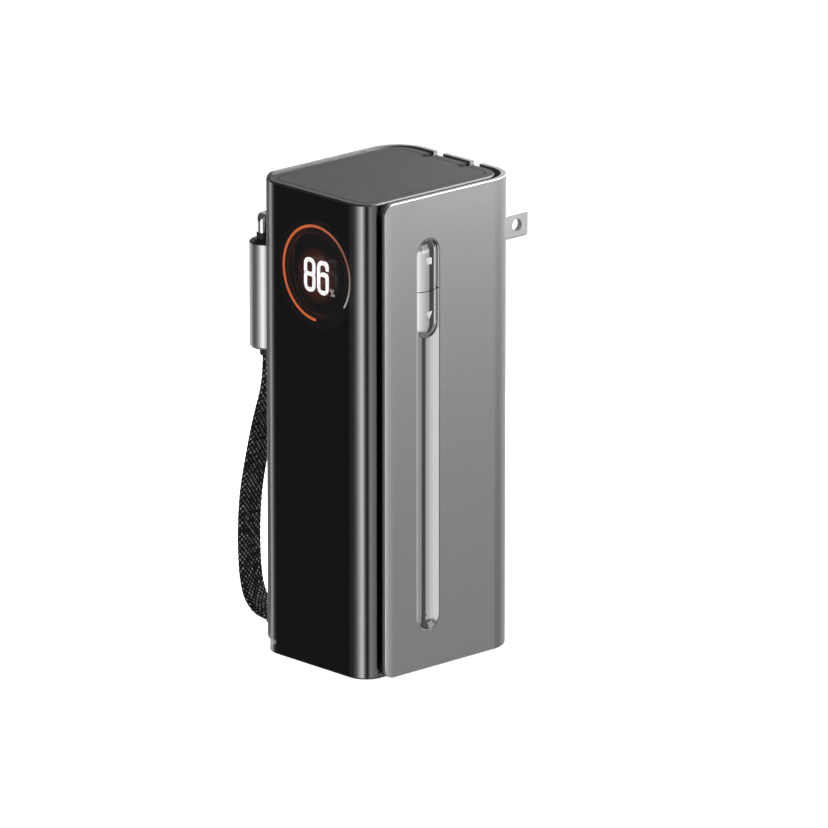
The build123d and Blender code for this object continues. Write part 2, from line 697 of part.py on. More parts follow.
def cell_holder(low, high, cell_z):
    """Moulded end tray: a plate across the cell ends and corner posts between the cells and the walls."""
    zone = Pos(CELL_X, 0) * Rectangle(2 * HOLDER_HALF_WIDTH, 60)
    holder = upright(bore_outline(0.15) & zone, low, high)
    for middle_y in CELL_Y:
        holder -= rod_z(CELL_R + CELL_GAP, CELL_X, middle_y, cell_z)
    for x, y in screw_places():
        holder -= rod_z(BOSS_R + 0.1, x, y, (0, BOSS_TOP_Z + 0.1))
    return holder


def cell_holder_bottom():
    low = CAP_DEPTH + FIT_GAP
    plate_top = CELL_LOW_Z - STRIP_THICKNESS - FIT_GAP
    holder = cell_holder(low, low + HOLDER_DEPTH, (plate_top, 40))
    strip = block((CELL_X - 4.1, CELL_X + 4.1), (CELL_Y[0] - 4.1, CELL_Y[1] + 4.1), (plate_top, CELL_LOW_Z))
    return holder - strip - block((-20, -13.8), (LEAD_Y - 5, LEAD_Y + 5), (0, 40))


def cell_holder_top():
    end = CELL_LOW_Z + CELL_LENGTH
    roof = end + STRIP_THICKNESS + FIT_GAP
    return cell_holder(end - HOLDER_DEPTH + HOLDER_PLATE, roof + HOLDER_PLATE, (40, roof))



def nickel_strips():
    """One strip joins the cells at the bottom, and each cell has its own tab at the top."""
    x = (CELL_X - 4, CELL_X + 4)
    low = CELL_LOW_Z - STRIP_THICKNESS - FIT_GAP / 2
    strips = [block(x, (CELL_Y[0] - 4, CELL_Y[1] + 4), (low, low + STRIP_THICKNESS))]
    low = CELL_LOW_Z + CELL_LENGTH + FIT_GAP / 2
    for middle_y in CELL_Y:
        strips.append(block(x, (middle_y - 4, middle_y + 4), (low, low + STRIP_THICKNESS)))
    return Compound(strips)


# ---- boards and what is on them ----
def main_board():
    z = (CAP_DEPTH + 0.4, HEIGHT - CAP_DEPTH - 0.4)
    board = block((MAIN_BOARD_X, MAIN_BOARD_X + BOARD), MAIN_BOARD_Y, z)
    board = fillet(board.edges().filter_by(Axis.X), 1.0)
    for y in (-16.5, 10.5):
        for z in (12.0, 108.0):
            board -= rod_x(0.8, (MAIN_BOARD_X - 1, MAIN_BOARD_X + 2), y, z)
    return board


def main_board_coils():
    """Three shielded power coils."""
    coils = []
    face = MAIN_BOARD_X + BOARD
    for z in COIL_Z:
        coil = block((face, face + COIL_HEIGHT), (-4.5, COIL_SIDE - 4.5), (z - COIL_SIDE / 2, z + COIL_SIDE / 2))
        coils.append(fillet(coil.edges().filter_by(Axis.X), 1.0))
    return Compound(coils)


def main_board_chips():
    """Charger, protection and control chips."""
    face = MAIN_BOARD_X + BOARD
    chips = []
    for y, z, side in CHIPS:
        half = side / 2
        chips.append(block((face, face + CHIP_HEIGHT), (y - half, y + half), (z - half, z + half)))
    return Compound(chips)


def main_board_capacitors():
    """Round capacitors that lie with their ends on the board."""
    face = MAIN_BOARD_X + BOARD
    cans = []
    for y in CAPACITOR_Y:
        can = rod_x(2.4, (face, face + 4.6), y, CAPACITOR_Z)
        cans.append(fillet(can.edges().group_by(Axis.X)[-1], 0.4))
    return Compound(cans)


def switch_board():
    low, high = button_spans()
    return block(
        (SWITCH_BOARD_X, SWITCH_BOARD_X + SWITCH_BOARD),
        (CHANNEL_Y - 5, CHANNEL_Y + 5),
        (sum(low) / 2 - 5, sum(high) / 2 + 5),
    )


def board_connector():
    return block(
        (MAIN_BOARD_X + BOARD, SWITCH_BOARD_X),
        (CHANNEL_Y - 3.5, CHANNEL_Y + 3.5),
        (BUTTON_SPLIT_Z - 1.4, BUTTON_SPLIT_Z + 1.4),
    )


def mains_board():
    board = block((-14.2, 8.6), (-17.0, 14.6), (MAINS_BOARD_Z, MAINS_BOARD_Z + BOARD))
    return fillet(board.edges().filter_by(Axis.Z), 1.5)


def transformer():
    """Ferrite core with its bobbin between the two side limbs."""
    low = MAINS_BOARD_Z + BOARD
    high = low + TRANSFORMER_HEIGHT
    window_x = (TRANSFORMER_X[0] + TRANSFORMER_LIMB, TRANSFORMER_X[1] - TRANSFORMER_LIMB)
    core = block(TRANSFORMER_X, TRANSFORMER_Y, (low, high))
    return core - block(window_x, (-20, 20), (low + TRANSFORMER_YOKE, high - TRANSFORMER_YOKE))


def transformer_winding():
    low = MAINS_BOARD_Z + BOARD + TRANSFORMER_YOKE
    z = (low + 0.1, low + TRANSFORMER_HEIGHT - 2 * TRANSFORMER_YOKE - 0.1)
    x = (TRANSFORMER_X[0] + TRANSFORMER_LIMB + 0.2, TRANSFORMER_X[1] - TRANSFORMER_LIMB - 0.2)
    winding = block(x, (TRANSFORMER_Y[0] - 1, TRANSFORMER_Y[1] + 1), z)
    return fillet(winding.edges().filter_by(Axis.Z), 1.5)


def bulk_capacitors():
    """Three upright capacitors in front of the transformer."""
    low = MAINS_BOARD_Z + BOARD
    cans = []
    for x in BULK_CAPACITOR_X:
        can = rod_z(3.4, x, -11.0, (low, low + 11.0))
        cans.append(fillet(can.edges().group_by(Axis.Z)[-1], 0.5))
    return Compound(cans)


def wire(points, radius, bend):
    """Round wire along straight runs with rounded corners."""
    path = FilletPolyline(*points, radius=bend)
    section = Plane(origin=path @ 0, z_dir=path % 0) * Circle(radius)
    return sweep(section, path=path)


def battery_leads():
    """Two leads from the cell ends to the main board."""
    top = CELL_LOW_Z + CELL_LENGTH
    leads = []
    for y in (-17.5, 12.0):
        points = [(8.2, y, top - 9), (8.2, y, top - 24), (8.2, y + 4.0, top - 34)]
        leads.append(wire(points, 0.6, 3.0))
    return Compound(leads)


# ---- USB-C port ----
def usb_port_shell():
    x = (PORT_MOUTH_X, PORT_MOUTH_X + PORT_DEPTH)
    shell = side_pill(PORT_WIDTH, PORT_HEIGHT, x, PORT_Y, PORT_Z)
    inside = (x[0] - 1, x[1] - 0.4)
    return shell - side_pill(PORT_WIDTH - 2 * PORT_WALL, PORT_HEIGHT - 2 * PORT_WALL, inside, PORT_Y, PORT_Z)


def usb_port_tongue():
    end = PORT_MOUTH_X + PORT_DEPTH - 0.4
    tongue = block((PORT_MOUTH_X + 0.9, end), (PORT_Y - 3.3, PORT_Y + 3.3), (PORT_Z - 0.35, PORT_Z + 0.35))
    block_end = side_pill(
        PORT_WIDTH - 2 * PORT_WALL, PORT_HEIGHT - 2 * PORT_WALL, (end - 1.2, end), PORT_Y, PORT_Z
    )
    return tongue + block_end


def usb_board():
    top = PORT_Z - PORT_HEIGHT / 2
    return block((-16.0, -10.6), (PORT_Y - 5.5, PORT_Y + 4.5), (top - 1.0, top))


# ---- captive lead ----
def route_points():
    return [(x, LEAD_Y, z) for x, z in LEAD_ROUTE]


def route_radii():
    """Each corner's arc is as large as its two runs allow."""
    points = [Vector(*point) for point in route_points()]
    radii = []
    for before, here, after in zip(points, points[1:], points[2:]):
        first = here - before
        second = after - here
        half_turn = math.radians(first.get_angle(second)) / 2
        radii.append(0.45 * min(first.length, second.length) / math.tan(half_turn))
    return radii


def strap_cable():
    path = FilletPolyline(*route_points(), radius=route_radii())
    start = Plane(origin=path @ 0, x_dir=(0, 1, 0), z_dir=path % 0)
    return sweep(start * SlotOverall(LEAD_WIDTH, LEAD_THICKNESS), path=path)


def strap_boot():
    """Tapered strain relief on the shell, through the walls, with a flange that holds it inside."""
    base = -SHELL_HALF_WIDTH
    tip = LEAD_ROUTE[0][0]
    wide = Plane.YZ.offset(base) * Pos(LEAD_Y, LEAD_EXIT_Z) * SlotOverall(LEAD_WIDTH + 2.4, 4.6)
    narrow = Plane.YZ.offset(tip) * Pos(LEAD_Y, LEAD_EXIT_Z) * SlotOverall(LEAD_WIDTH + 1.2, 3.0)
    wall_x = FIT_GAP + CASE_WALL + CASE_STEP - CORE_HALF_WIDTH
    boot = loft([narrow, wide])
    boot += side_pill(LEAD_WIDTH + 0.3, LEAD_THICKNESS + 0.3, (base, wall_x), LEAD_Y, LEAD_EXIT_Z)
    return boot + side_pill(LEAD_WIDTH + 0.4, 4.4, (wall_x, wall_x + 0.8), LEAD_Y, LEAD_EXIT_Z)


def lead_tail():
    """The lead's flat core inside the case, which goes up between the front cell and the wall."""
    low_x = FIT_GAP + CASE_WALL + CASE_STEP - CORE_HALF_WIDTH + 0.8
    x = (low_x, low_x + TAIL_THICKNESS)
    return block(x, (LEAD_Y - 3.0, LEAD_Y + 3.0), (LEAD_EXIT_Z - 0.6, MAINS_BOARD_Z + BOARD + 4))


def plug_housing():
    """Aluminium sleeve of the plug, with a rounded closed end that the lead goes into."""
    sleeve = flat_pill(PLUG_WIDTH, PLUG_THICKNESS, PLUG_X, LEAD_Y, (PLUG_LOW_Z, PLUG_RIM_Z - 0.5))
    sleeve = fillet(sleeve.edges().group_by(Axis.Z)[0], 0.9)
    inner = (PLUG_WIDTH - 2 * PLUG_WALL, PLUG_THICKNESS - 2 * PLUG_WALL)
    sleeve -= flat_pill(*inner, PLUG_X, LEAD_Y, (PLUG_LOW_Z + 1.5, PLUG_RIM_Z + 1))
    return sleeve - flat_pill(LEAD_WIDTH + 1.3, 3.1, LEAD_ENTRY_X, LEAD_Y, (PLUG_LOW_Z - 1, PLUG_LOW_Z + 2))


def plug_boot():
    """Black grommet where the lead enters the plug."""
    low = LEAD_ROUTE[-1][1]
    grommet = flat_pill(LEAD_WIDTH + 1.2, 3.0, LEAD_ENTRY_X, LEAD_Y, (low, PLUG_LOW_Z + 1.4))
    return fillet(grommet.edges().group_by(Axis.Z)[0], 0.5)


def plug_insert():
    """Black moulded core of the plug: it fills the sleeve, covers its end and rises to the tip."""
    gap = 2 * (PLUG_WALL + FIT_GAP)
    core_z = (PLUG_LOW_Z + 1.6, PLUG_RIM_Z - 0.5)
    insert = flat_pill(PLUG_WIDTH - gap, PLUG_THICKNESS - gap, PLUG_X, LEAD_Y, core_z)
    head = flat_pill(PLUG_WIDTH, PLUG_THICKNESS, PLUG_X, LEAD_Y, (PLUG_RIM_Z - 0.5, PLUG_RIM_Z))
    head = chamfer(head.edges().group_by(Axis.Z)[-1], 0.3)
    nose = flat_pill(
        PLUG_WIDTH - 1.6, PLUG_THICKNESS - 1.6, PLUG_X, LEAD_Y, (PLUG_RIM_Z, PLUG_RIM_Z + NOSE_RISE), taper=50
    )
    insert += head
    insert += nose
    usb_low = PLUG_RIM_Z + NOSE_RISE - 4.0
    insert -= flat_pill(USB_WIDTH + 0.1, USB_THICKNESS + 0.1, PLUG_X, LEAD_Y, (usb_low, PLUG_RIM_Z + 5))
    face_x = PLUG_X + PLUG_THICKNESS / 2 - PLUG_WALL - FIT_GAP
    return insert - rod_x(MAGNET_R + FIT_GAP, (face_x - 1.3, face_x + 1), LEAD_Y, MAGNET_Z)


def plug_magnet():
    face_x = PLUG_X + PLUG_THICKNESS / 2 - PLUG_WALL - FIT_GAP
    return rod_x(MAGNET_R, (face_x - 1.25, face_x - 0.05), LEAD_Y, MAGNET_Z)


def dock_magnet():
    outer_x = -(SHELL_HALF_WIDTH - SHELL_WALL - FIT_GAP)
    return rod_x(MAGNET_R, (outer_x, outer_x + 1.35), LEAD_Y, MAGNET_Z)


def usb_tip_z():
    base = PLUG_RIM_Z + NOSE_RISE
    return (base - 3.95, base + USB_LENGTH)


def plug_shell():
    """The plug's polished metal tip: a round-ended tube with rounded nose corners."""
    low, high = usb_tip_z()
    outer = flat_pill(USB_WIDTH, USB_THICKNESS, PLUG_X, LEAD_Y, (low, high))
    corner_low = high - USB_CORNER_R
    front = Plane.YZ.offset(PLUG_X - 5)
    nose = front * Pos(LEAD_Y, (low + high) / 2) * Rectangle(USB_WIDTH, high - low)
    nose = fillet(nose.vertices().group_by(Axis.Z)[-1], USB_CORNER_R)
    outer &= extrude(nose, 10)
    cavity = (USB_WIDTH - 2 * USB_WALL, USB_THICKNESS - 2 * USB_WALL)
    tube = outer - flat_pill(*cavity, PLUG_X, LEAD_Y, (low - 1, corner_low - 0.2))
    mouth = (USB_WIDTH - 2 * USB_CORNER_R, USB_THICKNESS - 2 * USB_WALL)
    return tube - flat_pill(*mouth, PLUG_X, LEAD_Y, (low, high + 1))


def plug_tongue():
    """Moulded contact carrier inside the tip."""
    low = usb_tip_z()[0]
    size = (USB_WIDTH - 2 * USB_WALL - 0.1, USB_THICKNESS - 2 * USB_WALL - 0.1)
    return flat_pill(*size, PLUG_X, LEAD_Y, (low, low + 6.0))


def plug_seal():
    """Thin dark collar round the root of the tip."""
    low = PLUG_RIM_Z + NOSE_RISE
    outer = (USB_WIDTH + 2 * SEAL_WALL, USB_THICKNESS + 2 * SEAL_WALL)
    collar = flat_pill(*outer, PLUG_X, LEAD_Y, (low, low + SEAL_HEIGHT))
    return collar - flat_pill(USB_WIDTH + 0.04, USB_THICKNESS + 0.04, PLUG_X, LEAD_Y, (low - 1, low + 5))


def build_nodes():
    lower, upper = button_spans()
    return {
        "outer_shell": outer_shell(),
        "shell_liner": shell_liner(),
        "front_cover": front_cover(),
        "main_case": main_case(),
        "top_cap": top_cap(),
        "top_panel": top_panel(),
        "bottom_cap": bottom_cap(),
        "case_screws": case_screws(),
        "channel_insert": channel_insert(),
        "upper_button": button(upper),
        "upper_plunger": plunger(upper),
        "lower_button": button(lower),
        "lower_plunger": plunger(lower),
        "tact_switches": tact_switches(),
        "switch_board": switch_board(),
        "board_connector": board_connector(),
        "display_panel": display_panel(),
        "display_board": display_board(),
        "display_flex": display_flex(),
        "prong_pin": prong_pin(),
        "prong_collars": prong_collars(),
        "prong_blade_left": prong_blade(prong_middles()[0]),
        "prong_blade_right": prong_blade(prong_middles()[1]),
        "prong_housing": prong_housing(),
        "housing_screws": housing_screws(),
        "ac_contacts": ac_contacts(),
        "detent_springs": detent_springs(),
        "front_cell": cell(CELL_Y[0]),
        "rear_cell": cell(CELL_Y[1]),
        "cell_holder_bottom": cell_holder_bottom(),
        "cell_holder_top": cell_holder_top(),
        "nickel_strips": nickel_strips(),
        "battery_leads": battery_leads(),
        "main_board": main_board(),
        "main_board_coils": main_board_coils(),
        "main_board_chips": main_board_chips(),
        "main_board_capacitors": main_board_capacitors(),
        "mains_board": mains_board(),
        "transformer": transformer(),
        "transformer_winding": transformer_winding(),
        "bulk_capacitors": bulk_capacitors(),
        "usb_port_shell": usb_port_shell(),
        "usb_port_tongue": usb_port_tongue(),
        "usb_board": usb_board(),
        "strap_cable": strap_cable(),
        "strap_boot": strap_boot(),
        "lead_tail": lead_tail(),
        "plug_housing": plug_housing(),
        "plug_boot": plug_boot(),
        "plug_insert": plug_insert(),
        "plug_magnet": plug_magnet(),
        "dock_magnet": dock_magnet(),
        "plug_shell": plug_shell(),
        "plug_tongue": plug_tongue(),
        "plug_seal": plug_seal(),
    }


def main():
    os.makedirs("parts", exist_ok=True)
    for name, shape in build_nodes().items():
        export_step(shape, f"parts/{name}.step")
    print("lead arc radii, mm:", [round(radius, 1) for radius in route_radii()])


main()
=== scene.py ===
import json
import math

import bpy
import numpy as np
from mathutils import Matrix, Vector

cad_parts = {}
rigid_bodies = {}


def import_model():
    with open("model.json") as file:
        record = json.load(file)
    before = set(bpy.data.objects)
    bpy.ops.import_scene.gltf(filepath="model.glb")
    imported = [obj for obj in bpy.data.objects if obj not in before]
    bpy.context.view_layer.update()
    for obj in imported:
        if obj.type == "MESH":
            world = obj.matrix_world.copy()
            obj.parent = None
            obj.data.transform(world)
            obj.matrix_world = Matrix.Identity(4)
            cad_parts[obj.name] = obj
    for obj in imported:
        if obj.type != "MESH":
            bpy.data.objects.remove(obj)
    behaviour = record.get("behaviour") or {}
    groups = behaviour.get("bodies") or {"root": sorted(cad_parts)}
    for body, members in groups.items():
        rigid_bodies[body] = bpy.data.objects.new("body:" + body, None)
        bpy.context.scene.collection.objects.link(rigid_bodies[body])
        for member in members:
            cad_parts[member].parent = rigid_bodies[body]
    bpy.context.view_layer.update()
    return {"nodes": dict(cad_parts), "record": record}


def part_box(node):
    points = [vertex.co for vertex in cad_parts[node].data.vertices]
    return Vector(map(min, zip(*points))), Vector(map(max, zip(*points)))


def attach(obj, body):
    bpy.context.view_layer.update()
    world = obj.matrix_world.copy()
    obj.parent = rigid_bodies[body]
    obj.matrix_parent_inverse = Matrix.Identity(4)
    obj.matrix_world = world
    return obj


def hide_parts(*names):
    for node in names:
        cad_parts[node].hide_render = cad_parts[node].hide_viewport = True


# Looks of the pocket power station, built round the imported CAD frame.  Metres, same frame as the CAD:
# front is -Y (display), right is +X (buttons), back is +Y (mains prongs), left is -X (captive lead).
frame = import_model()

MM = 0.001

# ---- camera ----
CAMERA_AZIMUTH = math.radians(46.811)
CAMERA_ELEVATION = math.radians(16.305)
CAMERA_DISTANCE = 2.6348
CAMERA_AIM = Vector((0.00505, 0.00428, 0.05833))
CAMERA_LENS = 477.6
SENSOR_WIDTH = 36.0


def direction(azimuth, elevation):
    """Unit vector from the object outwards. Azimuth 0 is the front and 90 degrees the right side."""
    return Vector((
        math.sin(azimuth) * math.cos(elevation),
        -math.cos(azimuth) * math.cos(elevation),
        math.sin(elevation),
    ))


def make_camera():
    data = bpy.data.cameras.new("camera")
    data.lens = CAMERA_LENS
    data.sensor_width = SENSOR_WIDTH
    data.clip_start = 0.1
    data.clip_end = 50
    camera = bpy.data.objects.new("camera", data)
    bpy.context.scene.collection.objects.link(camera)
    back = direction(CAMERA_AZIMUTH, CAMERA_ELEVATION)
    camera.location = CAMERA_AIM + back * CAMERA_DISTANCE
    camera.rotation_mode = "QUATERNION"
    camera.rotation_quaternion = (-back).to_track_quat("-Z", "Y")
    bpy.context.scene.camera = camera


make_camera()


# ---- mesh helpers ----
def mesh_object(name, vertices, faces, smooth=True):
    mesh = bpy.data.meshes.new(name)
    mesh.from_pydata([tuple(v) for v in vertices], [], [tuple(f) for f in faces])
    mesh.validate()
    obj = bpy.data.objects.new(name, mesh)
    bpy.context.scene.collection.objects.link(obj)
    if smooth:
        mesh.polygons.foreach_set("use_smooth", [True] * len(mesh.polygons))
    mesh.update()
    return obj


def float_attribute(obj, name, values):
    attribute = obj.data.attributes.new(name, "FLOAT", "POINT")
    attribute.data.foreach_set("value", np.asarray(values, np.float32))


def dress(obj, body, mat):
    """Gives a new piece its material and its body."""
    obj.data.materials.clear()
    obj.data.materials.append(mat)
    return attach(obj, body)


def rounded_outline(corners, steps=10):
    """Closed 2-D outline from corners (x, z, radius), each rounded by an arc."""
    points = []
    count = len(corners)
    for i, (x, z, radius) in enumerate(corners):
        here = Vector((x, z))
        before = Vector(corners[i - 1][:2]) - here
        after = Vector(corners[(i + 1) % count][:2]) - here
        half = before.angle(after) / 2
        reach = min(radius / math.tan(half), 0.499 * before.length, 0.499 * after.length)
        radius = reach * math.tan(half)
        start = here + before.normalized() * reach
        end = here + after.normalized() * reach
        centre = here + (before.normalized() + after.normalized()).normalized() * (radius / math.sin(half))
        first = start - centre
        turn = first.angle_signed(end - centre)
        for k in range(steps + 1):
            angle = turn * k / steps
            c, s = math.cos(angle), math.sin(angle)
            points.append(centre + Vector((first.x * c + first.y * s, -first.x * s + first.y * c)))
    return points


def circle(x, z, radius, count=20):
    return [
        (x + radius * math.cos(2 * math.pi * k / count), z + radius * math.sin(2 * math.pi * k / count))
        for k in range(count)
    ]


def filled_plate(name, outlines, thickness, place):
    """Thin plate in the XZ plane from outlines in mm, holes among them, centred on place."""
    curve = bpy.data.curves.new(name + "_outline", "CURVE")
    curve.dimensions = "2D"
    curve.fill_mode = "BOTH"
    curve.extrude = thickness / 2
    for outline in outlines:
        spline = curve.splines.new("POLY")
        spline.points.add(len(outline) - 1)
        for point, (x, z) in zip(spline.points, outline):
            point.co = (x * MM, z * MM, 0, 1)
        spline.use_cyclic_u = True
    holder = bpy.data.objects.new(name + "_outline", curve)
    mesh = bpy.data.meshes.new_from_object(holder)
    bpy.data.curves.remove(curve)
    co = np.zeros(len(mesh.vertices) * 3, np.float32)
    mesh.vertices.foreach_get("co", co)
    co = co.reshape(-1, 3)
    turned = np.stack([co[:, 0] + place[0], place[1] - co[:, 2], co[:, 1] + place[2]], axis=1)
    mesh.vertices.foreach_set("co", turned.astype(np.float32).ravel())
    mesh.name = name
    obj = bpy.data.objects.new(name, mesh)
    bpy.context.scene.collection.objects.link(obj)
    weld = obj.modifiers.new("weld", "WELD")
    weld.merge_threshold = 0.000001
    mesh.update()
    return obj


# ---- material helpers ----
class Recipe:
    """One node material with a Principled shader, positions in object space."""

    def __init__(self, name, color, roughness, metallic=0.0):
        self.mat = bpy.data.materials.new(name)
        self.mat.use_nodes = True
        self.tree = self.mat.node_tree
        self.tree.nodes.clear()
        output = self.tree.nodes.new("ShaderNodeOutputMaterial")
        self.shader = self.tree.nodes.new("ShaderNodeBsdfPrincipled")
        self.tree.links.new(self.shader.outputs["BSDF"], output.inputs["Surface"])
        self.set("Base Color", (*color, 1))
        self.set("Roughness", roughness)
        self.set("Metallic", metallic)
        self.color = color
        self.place = self.tree.nodes.new("ShaderNodeTexCoord").outputs["Object"]

    def set(self, socket, value):
        self.shader.inputs[socket].default_value = value

    def link(self, output, socket):
        self.tree.links.new(output, self.shader.inputs[socket])

    def noise(self, size, detail=2.0, stretch=(1, 1, 1)):
        """Noise whose blobs are about that size, in metres."""
        mapping = self.tree.nodes.new("ShaderNodeMapping")
        mapping.inputs["Scale"].default_value = [s / size for s in stretch]
        self.tree.links.new(self.place, mapping.inputs["Vector"])
        node = self.tree.nodes.new("ShaderNodeTexNoise")
        node.inputs["Scale"].default_value = 1.0
        node.inputs["Detail"].default_value = detail
        self.tree.links.new(mapping.outputs["Vector"], node.inputs["Vector"])
        return node.outputs["Fac"]

    def attribute(self, name):
        node = self.tree.nodes.new("ShaderNodeAttribute")
        node.attribute_name = name
        return node.outputs["Fac"]

    def spread(self, source, low, high):
        """Maps the middle of a noise to a range of numbers."""
        node = self.tree.nodes.new("ShaderNodeMapRange")
        node.inputs["From Min"].default_value = 0.25
        node.inputs["From Max"].default_value = 0.75
        node.inputs["To Min"].default_value = low
        node.inputs["To Max"].default_value = high
        self.tree.links.new(source, node.inputs["Value"])
        return node.outputs["Result"]

    def ramp(self, source, stops):
        """Colours at positions 0 to 1."""
        node = self.tree.nodes.new("ShaderNodeValToRGB")
        elements = node.color_ramp.elements
        while len(elements) < len(stops):
            elements.new(0.5)
        for element, (position, color) in zip(elements, stops):
            element.position = position
            element.color = (*color, 1)
        self.tree.links.new(source, node.inputs["Fac"])
        return node.outputs["Color"]

    def tint(self, source, amount):
        """Base colour that drifts by that share either way."""
        dark = [c * (1 - amount) for c in self.color]
        light = [min(1, c * (1 + amount)) for c in self.color]
        self.link(self.ramp(source, [(0.3, dark), (0.7, light)]), "Base Color")

    def bump(self, source, height, strength=1.0):
        node = self.tree.nodes.new("ShaderNodeBump")
        node.inputs["Distance"].default_value = height
        node.inputs["Strength"].default_value = strength
        self.tree.links.new(source, node.inputs["Height"])
        self.link(node.outputs["Normal"], "Normal")

    def glow(self, stops, source, strength):
        self.link(self.ramp(source, stops), "Emission Color")
        self.set("Emission Strength", strength)


def plain_plastic(name, color, roughness, grain=0.0004, height=0.000004, drift=0.10):
    """Moulded plastic with a fine texture."""
    recipe = Recipe(name, color, roughness)
    recipe.tint(recipe.noise(0.006, 3), drift)
    fine = recipe.noise(grain, 2)
    recipe.link(recipe.spread(fine, roughness - 0.04, roughness + 0.06), "Roughness")
    recipe.bump(fine, height)
    return recipe.mat


def metal(name, color, roughness, grain=0.0003, height=0.000001, stretch=(1, 1, 1), drift=0.05):
    recipe = Recipe(name, color, roughness, metallic=1.0)
    recipe.tint(recipe.noise(0.008, 3, stretch), drift)
    fine = recipe.noise(grain, 2, stretch)
    recipe.link(recipe.spread(fine, roughness * 0.85, roughness * 1.15), "Roughness")
    recipe.bump(fine, height)
    return recipe.mat


def satin_aluminium():
    """Bead-blasted and anodised: a fine even grain and a soft sheen."""
    recipe = Recipe("satin_aluminium", (0.56, 0.56, 0.563), 0.38, metallic=1.0)
    recipe.tint(recipe.noise(0.00022, 2), 0.06)
    fine = recipe.noise(0.00016, 3)
    recipe.link(recipe.spread(fine, 0.35, 0.42), "Roughness")
    recipe.bump(fine, 0.0000022)
    return recipe.mat


def smoked_window():
    """Dark tinted clear plastic with a polished hard coat, thin enough not to bend the view."""
    recipe = Recipe("smoked_window", (0.45, 0.45, 0.46), 0.012)
    recipe.set("Transmission Weight", 1.0)
    recipe.set("IOR", 1.01)
    recipe.set("Coat Weight", 1.0)
    recipe.set("Coat Roughness", 0.01)
    recipe.set("Coat IOR", 2.3)
    recipe.link(recipe.spread(recipe.noise(0.03, 4), 0.004, 0.022), "Roughness")
    return recipe.mat


def plated_blade():
    """Satin nickel plating, lightly linished along the blade."""
    recipe = Recipe("plated_blade", (0.31, 0.307, 0.303), 0.45, metallic=0.4)
    recipe.tint(recipe.noise(0.004, 3), 0.03)
    fine = recipe.noise(0.00018, 2, (1, 0.1, 1))
    recipe.link(recipe.spread(fine, 0.40, 0.50), "Roughness")
    recipe.bump(fine, 0.0000012)
    return recipe.mat


def bonded_display():
    """Display glass laminated to the window: no reflection of its own."""
    recipe = Recipe("display_black", (0.0025, 0.0022, 0.0022), 0.3)
    recipe.set("Specular IOR Level", 0.0)
    recipe.tint(recipe.noise(0.004), 0.1)
    return recipe.mat


def woven_sleeve():
    """Black braid with a painted sheen: an attribute says how light each place is, lightening the base colour
    at each yarn's crown.
    """
    recipe = Recipe("woven_sleeve", (0.02, 0.02, 0.02), 0.7)
    # Painted sheen: the attribute lifts the base colour from near black to light grey on the yarn crowns.
    stops = [(0.0, (0.003, 0.003, 0.003)), (0.15, (0.006, 0.006, 0.006)), (1.0, (0.85, 0.85, 0.85))]
    recipe.link(recipe.ramp(recipe.attribute("crown_sheen"), stops), "Base Color")
    recipe.set("Specular IOR Level", 0.2)
    fibres = recipe.noise(0.00008, 3, (1, 1, 0.25))
    recipe.link(recipe.spread(fibres, 0.55, 0.8), "Roughness")
    recipe.bump(fibres, 0.000012)
    return recipe.mat


def lit(name, source_name, stops, strength):
    """Lit graphics of the display, coloured along an attribute."""
    recipe = Recipe(name, (0.01, 0.01, 0.01), 0.5)
    recipe.glow(stops, recipe.attribute(source_name), strength)
    recipe.link(recipe.spread(recipe.noise(0.0003), 0.45, 0.55), "Roughness")
    return recipe.mat


MATERIALS = {
    "satin_aluminium": satin_aluminium(),
    "smoked_window": smoked_window(),
    "matt_black": plain_plastic("matt_black", (0.020, 0.020, 0.021), 0.42),
    "panel_black": plain_plastic("panel_black", (0.021, 0.021, 0.022), 0.48, 0.0003, 0.000003),
    "case_black": plain_plastic("case_black", (0.012, 0.012, 0.012), 0.5),
    "polished_metal": metal("polished_metal", (0.82, 0.82, 0.83), 0.05, 0.004, 0.0000002, drift=0.01),
    "display_black": bonded_display(),
    "plated_blade": plated_blade(),
    "brass": metal("brass", (0.75, 0.52, 0.22), 0.3),
    "steel": metal("steel", (0.55, 0.55, 0.56), 0.3, 0.0002, 0.000001, (1, 1, 0.2)),
    "cell_wrap": plain_plastic("cell_wrap", (0.03, 0.11, 0.25), 0.3, 0.001, 0.000002),
    "circuit_board": plain_plastic("circuit_board", (0.01, 0.10, 0.04), 0.35, 0.0008, 0.000004),
    "component_black": plain_plastic("component_black", (0.02, 0.02, 0.02), 0.5),
    "ferrite": plain_plastic("ferrite", (0.05, 0.05, 0.055), 0.7, 0.0002, 0.00001),
    "winding_tape": plain_plastic("winding_tape", (0.60, 0.42, 0.06), 0.35, 0.002, 0.000004),
    "capacitor_can": metal("capacitor_can", (0.35, 0.36, 0.40), 0.35),
    "flex_amber": plain_plastic("flex_amber", (0.50, 0.20, 0.03), 0.3),
    "lead_red": plain_plastic("lead_red", (0.45, 0.02, 0.02), 0.4),
    "black_rubber": plain_plastic("black_rubber", (0.018, 0.018, 0.018), 0.6, 0.0003, 0.000006),
    "plug_black": plain_plastic("plug_black", (0.022, 0.022, 0.023), 0.38, 0.0003, 0.000002),
}


# ---- the woven lead: route, centreline and braid ----
LEAD_Y = -14.0
# The route's points in XZ, mm, as in the CAD source.
LEAD_ROUTE = [
    (-23.3, 5.2),
    (-27.3, 5.2),
    (-30.8, 7.2),
    (-32.8, 10.7),
    (-33.7, 16.6),
    (-33.9, 25.1),
    (-33.2, 34.3),
    (-31.2, 43.3),
    (-28.4, 54.0),
    (-24.6, 64.6),
    (-24.6, 71.0),
]
LEAD_WIDTH = 0.007
LEAD_THICKNESS = 0.0018
CELLS_AROUND = 14
CELL_ALONG = 0.00145
BRAID_HEIGHT = 0.00011
STEP_ALONG = 0.00012
STEPS_AROUND = 136
# Painted sheen on the lead: seed and size of the lighter spot on each yarn's crown.
CROWN_SHEEN_SEED = 5
CROWN_SHEEN_ACROSS = 0.24
CROWN_SHEEN_ALONG = 0.36


